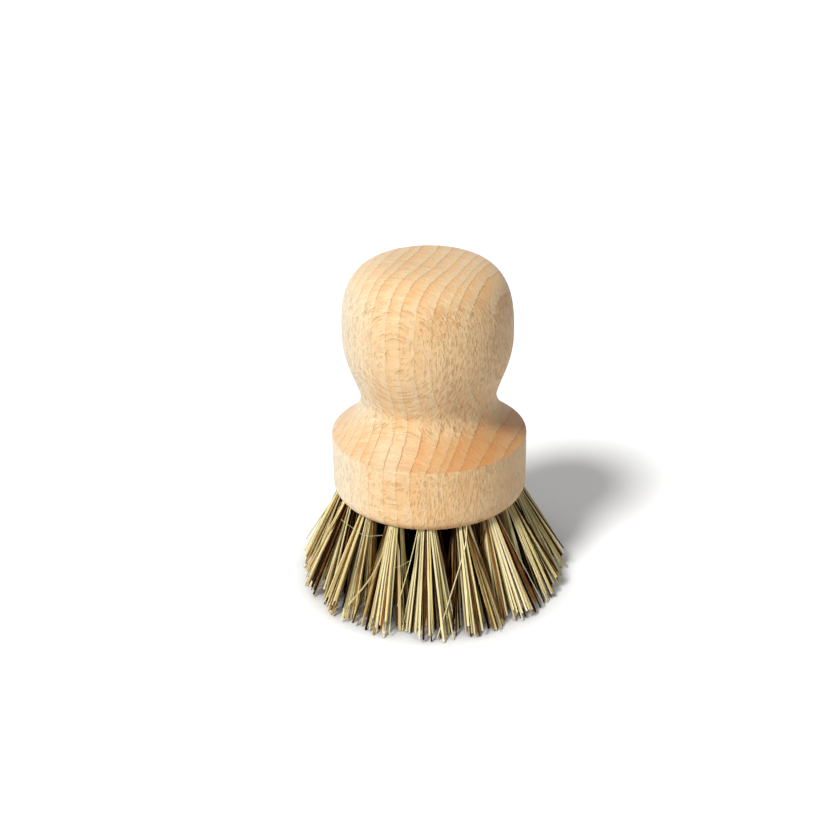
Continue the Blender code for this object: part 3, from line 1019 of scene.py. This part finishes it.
# The middle and inner tufts, hidden behind the outer ones, are mostly near-black, as painted shade
SHADED_HIDDEN_BANDS = "dark dark brown dark"

# How far bands run into each other, and how often a fibre deep in a tuft is of another, mostly darker
# mixture, as painted shade
BAND_BLUR = 0.05
DEEP_SHADE_SHARE = 0.60
DEEP_SHADE_MIXTURES = ("dark", "brown", "straw", "tan")


def fibre_tone(bands, near, chance):
    """A fibre's tone from the band that it lies in. Fibres deep in a tuft are darker, as painted shade."""
    names = bands.split()
    sideways = 0.5 + 0.5 * near[1] / HOLE_RADIUS + chance.gauss(0, BAND_BLUR)
    mixture = names[min(max(int(sideways * len(names)), 0), len(names) - 1)]
    depth = 1 - math.hypot(*near) / HOLE_RADIUS
    # Painted shade: fibres deep in a tuft are more often dark
    if chance.random() < depth * DEEP_SHADE_SHARE:
        mixture = chance.choice(DEEP_SHADE_MIXTURES)
    low, high = chance.choices(TONE_RANGES, MIXTURES[mixture])[0]
    return chance.uniform(low, high)


# Single fibres and hairs that lie across the tufts: width in millimetres, tone, and points in
# millimetres, from inside the hole that holds one or from between the fibres that it is caught in
STRAYS = {
    "stray_long": (
        0.50,
        0.97,
        ((9.2, -22.6, 27.0), (8.9, -25.4, 20.8), (5.3, -32.0, 11.2), (1.3, -38.0, 0.9)),
    ),
    "stray_left": (0.42, 0.80, ((-3.0, -23.6, 26.0), (-5.4, -28.2, 17.6), (-8.8, -33.3, 7.6))),
    "stray_far_left": (0.45, 0.72, ((-9.5, -22.0, 25.5), (-14.6, -27.0, 14.3), (-21.8, -28.6, 4.9))),
    "hair_left": (
        0.14,
        1.0,
        ((-23.8, -11.6, 21.0), (-21.0, -17.3, 22.1), (-17.2, -21.4, 21.8), (-12.4, -23.0, 22.7)),
    ),
    "hair_front": (0.12, 1.0, ((-12.6, -26.6, 15.5), (-8.9, -28.3, 16.2), (-5.0, -27.6, 18.0))),
    "twig": (0.36, 0.06, ((14.2, -21.2, 22.8), (13.7, -23.4, 21.2), (12.5, -24.4, 19.8))),
}


def smooth_path(points, steps):
    """Points of a smooth curve through the given ones."""
    path = []
    for i in range(len(points) - 1):
        a = points[max(i - 1, 0)]
        b, c = points[i], points[i + 1]
        d = points[min(i + 2, len(points) - 1)]
        for step in range(steps):
            t = step / steps
            path.append(
                b * (2 * t**3 - 3 * t**2 + 1)
                + (c - a) / 2 * (t**3 - 2 * t**2 + t)
                + c * (3 * t**2 - 2 * t**3)
                + (d - b) / 2 * (t**3 - t**2)
            )
    return path + [points[-1]]


class POTBRUSH_OT_tufts(bpy.types.Operator):
    """Fold a bundle of mixed plant fibres into every hole"""

    bl_idname = "pot_brush.tufts"
    bl_label = "Fibre Tufts"

    def execute(self, context):
        settings = context.scene.pot_brush.fibres
        material = fibre_material("plant_fibre", strand_group())
        chance = random.Random(settings.seed)
        for row, name, where, flare in hole_places():
            maker = MeshMaker(FIBRE_SIDES)
            bands = OUTER_BANDS[int(name[-2:]) - 1] if row == "outer" else SHADED_HIDDEN_BANDS
            sideways = where.to_3x3() @ Vector((0, 1, 0))
            clumps = clump_middles(chance)
            for near in packed_places(settings, chance):
                shifted = near[0] + chance.uniform(-FOLD_SHIFT, FOLD_SHIFT)
                far = (max(shifted, FOLD_SHIFT), near[1])
                path = folded_fibre(where, near, far, flare, clumps, settings, chance)
                width = chance.triangular(settings.thinnest, settings.thickest) / 2
                widths = (width, width * chance.uniform(*FLATNESS))
                tone = fibre_tone(bands, near, chance)
                twist = chance.uniform(-MOST_TWIST, MOST_TWIST)
                maker.tube(path, sideways, widths, tone, chance, twist, packed=True)
            tuft = put(f"fibres_{name}", maker.mesh(f"fibres_{name}", material))
            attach(tuft, BODY)
            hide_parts(f"tuft_{name}")
        for name, (width, tone, points) in STRAYS.items():
            maker = MeshMaker(STRAY_SIDES)
            path = smooth_path([Vector(point) * MM for point in points], 5)
            maker.tube(path, Vector((1, 0, 0)), (width * MM / 2, width * MM / 3), tone, chance, 0.5)
            stray = put(name, maker.mesh(name, material))
            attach(stray, BODY)
        return {"FINISHED"}


class POTBRUSH_OT_staples(bpy.types.Operator):
    """Give the staples their drawn steel"""

    bl_idname = "pot_brush.staples"
    bl_label = "Staples"

    def execute(self, context):
        steel = steel_material()
        for name, node in frame["nodes"].items():
            if name.startswith("staple_"):
                node.data.materials.clear()
                node.data.materials.append(steel)
        return {"FINISHED"}


# Camera, at the photograph's viewing angle
CAMERA_PLACE = Vector((-0.00035, -0.33154, 0.20621))
CAMERA_TARGET = Vector((-0.00345, 0.0, 0.04575))
CAMERA_ROLL = math.radians(-1.04)
FOCAL_PIXELS = 1381.6

# Where the key lamp stands: its turn from -X towards -Y, and its height
LAMP_AZIMUTH = math.radians(46.5)
LAMP_ELEVATION = math.radians(50.5)
BRIGHT_SIDE = Vector((-0.80, -0.60, 0.0))
FLOOR_SIDE = 6.0
FLOOR_LIFT = 0.184
# Reach and depth of the painted contact shadow round the tips
CONTACT_REACH = 0.016
CONTACT_SHADE = 0.12


def light_paths(bench):
    """Light Path's outputs, and a mask of what the camera sees directly or by gloss or glass."""
    paths = bench.add("ShaderNodeLightPath").outputs
    seen = bench.math("MAXIMUM", paths["Is Camera Ray"], paths["Is Glossy Ray"])
    return paths, bench.math("MAXIMUM", seen, paths["Is Transmission Ray"])


def floor_material(settings):
    """Matt floor, lifted to white where the camera sees it unshaded, with painted contact shadow round the
    tips.
    """
    made, bench, shader = new_material("pale_floor")
    contact = bench.add("ShaderNodeAmbientOcclusion", {"Distance": CONTACT_REACH}, samples=8)
    # Painted contact shadow: the floor's colour and its lift are darkened close round the tips
    clear = bench.remap(contact.outputs["AO"], 0.0, 1.0, CONTACT_SHADE, 1.0, smooth=False)
    paths, seen = light_paths(bench)
    painted_contact_shadow = bench.remap(paths["Is Camera Ray"], 0.0, 1.0, 1.0, clear, smooth=False)
    bench.feed(shader["Base Color"], bench.vector("SCALE", tuple(settings.floor), painted_contact_shadow))
    shader["Roughness"].default_value = 0.9
    shader["Specular IOR Level"].default_value = 0.0
    glow = bench.add("ShaderNodeEmission", {"Strength": bench.product(seen, clear, FLOOR_LIFT)})
    nodes = made.node_tree.nodes
    shaders = {0: nodes["Principled BSDF"].outputs[0], 1: glow.outputs[0]}
    both = bench.add("ShaderNodeAddShader", shaders)
    bench.feed(nodes["Material Output"].inputs["Surface"], both.outputs[0])
    return made


def make_world(settings):
    """Even light from all round, white where the camera or a gloss sees it."""
    world = bpy.data.worlds.new("studio")
    world.use_nodes = True
    bench = NodeBench(world.node_tree)
    sky = world.node_tree.nodes["Background"].inputs
    bench.feed(sky["Color"], (1.0, 1.0, 1.0))
    _, seen = light_paths(bench)
    around = bench.add("ShaderNodeTexCoord").outputs["Generated"]
    heading = bench.vector("DOT_PRODUCT", around, BRIGHT_SIDE)
    even = bench.math("MULTIPLY_ADD", heading, settings.sky_slope, settings.sky_strength)
    bench.feed(sky["Strength"], bench.remap(seen, 0.0, 1.0, even, 1.0, smooth=False))
    return world


class POTBRUSH_OT_stage(bpy.types.Operator):
    """Set up the floor, the soft light and the camera"""

    bl_idname = "pot_brush.stage"
    bl_label = "Stage"

    def execute(self, context):
        settings = context.scene.pot_brush.stage
        scene = context.scene
        half = FLOOR_SIDE / 2
        corners = [(-half, -half, 0), (half, -half, 0), (half, half, 0), (-half, half, 0)]
        plane = bpy.data.meshes.new("floor")
        plane.from_pydata(corners, [], [(0, 1, 2, 3)])
        plane.materials.append(floor_material(settings))
        put("floor", plane)

        lamp = bpy.data.lights.new("key_lamp", "SUN")
        lamp.energy = settings.lamp_strength
        lamp.angle = settings.lamp_spread
        flat = math.cos(LAMP_ELEVATION)
        x, y = -math.cos(LAMP_AZIMUTH) * flat, -math.sin(LAMP_AZIMUTH) * flat
        source = Vector((x, y, math.sin(LAMP_ELEVATION)))
        turn = source.to_track_quat("Z", "Y").to_matrix().to_4x4()
        put("key_lamp", lamp, Matrix.Translation(source) @ turn)
        scene.world = make_world(settings)

        lens = bpy.data.cameras.new("camera")
        lens.sensor_width = FILM_WIDTH
        lens.lens = FOCAL_PIXELS / IMAGE_SIDE * FILM_WIDTH
        lens.clip_start = 0.01
        lens.clip_end = 20.0
        look = (CAMERA_PLACE - CAMERA_TARGET).to_track_quat("Z", "Y").to_matrix().to_4x4()
        where = Matrix.Translation(CAMERA_PLACE) @ look @ Matrix.Rotation(CAMERA_ROLL, 4, "Z")
        scene.camera = put("camera", lens, where)
        scene.view_settings.view_transform = "Standard"
        return {"FINISHED"}


OPERATORS = (POTBRUSH_OT_stage, POTBRUSH_OT_block, POTBRUSH_OT_tufts, POTBRUSH_OT_staples)


class POTBRUSH_PT_panel(bpy.types.Panel):
    """The brush's pieces and settings"""

    bl_idname = "POTBRUSH_PT_panel"
    bl_label = "Pot Brush"
    bl_space_type = "VIEW_3D"
    bl_region_type = "UI"
    bl_category = "Pot Brush"

    def draw(self, context):
        settings = context.scene.pot_brush
        groups = {"Block": settings.block, "Fibres": settings.fibres, "Stage": settings.stage}
        for title, group in groups.items():
            box = self.layout.box()
            box.label(text=title)
            for name in group.bl_rna.properties.keys():
                if name not in {"rna_type", "name"}:
                    box.prop(group, name)
        for operator in OPERATORS:
            self.layout.operator(operator.bl_idname)


CLASSES = (BlockSettings, FibreSettings, StageSettings, PotBrushSettings, *OPERATORS, POTBRUSH_PT_panel)


def register():
    for each in CLASSES:
        bpy.utils.register_class(each)
    bpy.types.Scene.pot_brush = PointerProperty(type=PotBrushSettings)


def unregister():
    del bpy.types.Scene.pot_brush
    for each in reversed(CLASSES):
        bpy.utils.unregister_class(each)


def main():
    register()
    bpy.ops.pot_brush.stage()
    bpy.ops.pot_brush.block()
    bpy.ops.pot_brush.tufts()
    bpy.ops.pot_brush.staples()


if __name__ == "__main__":
    main()
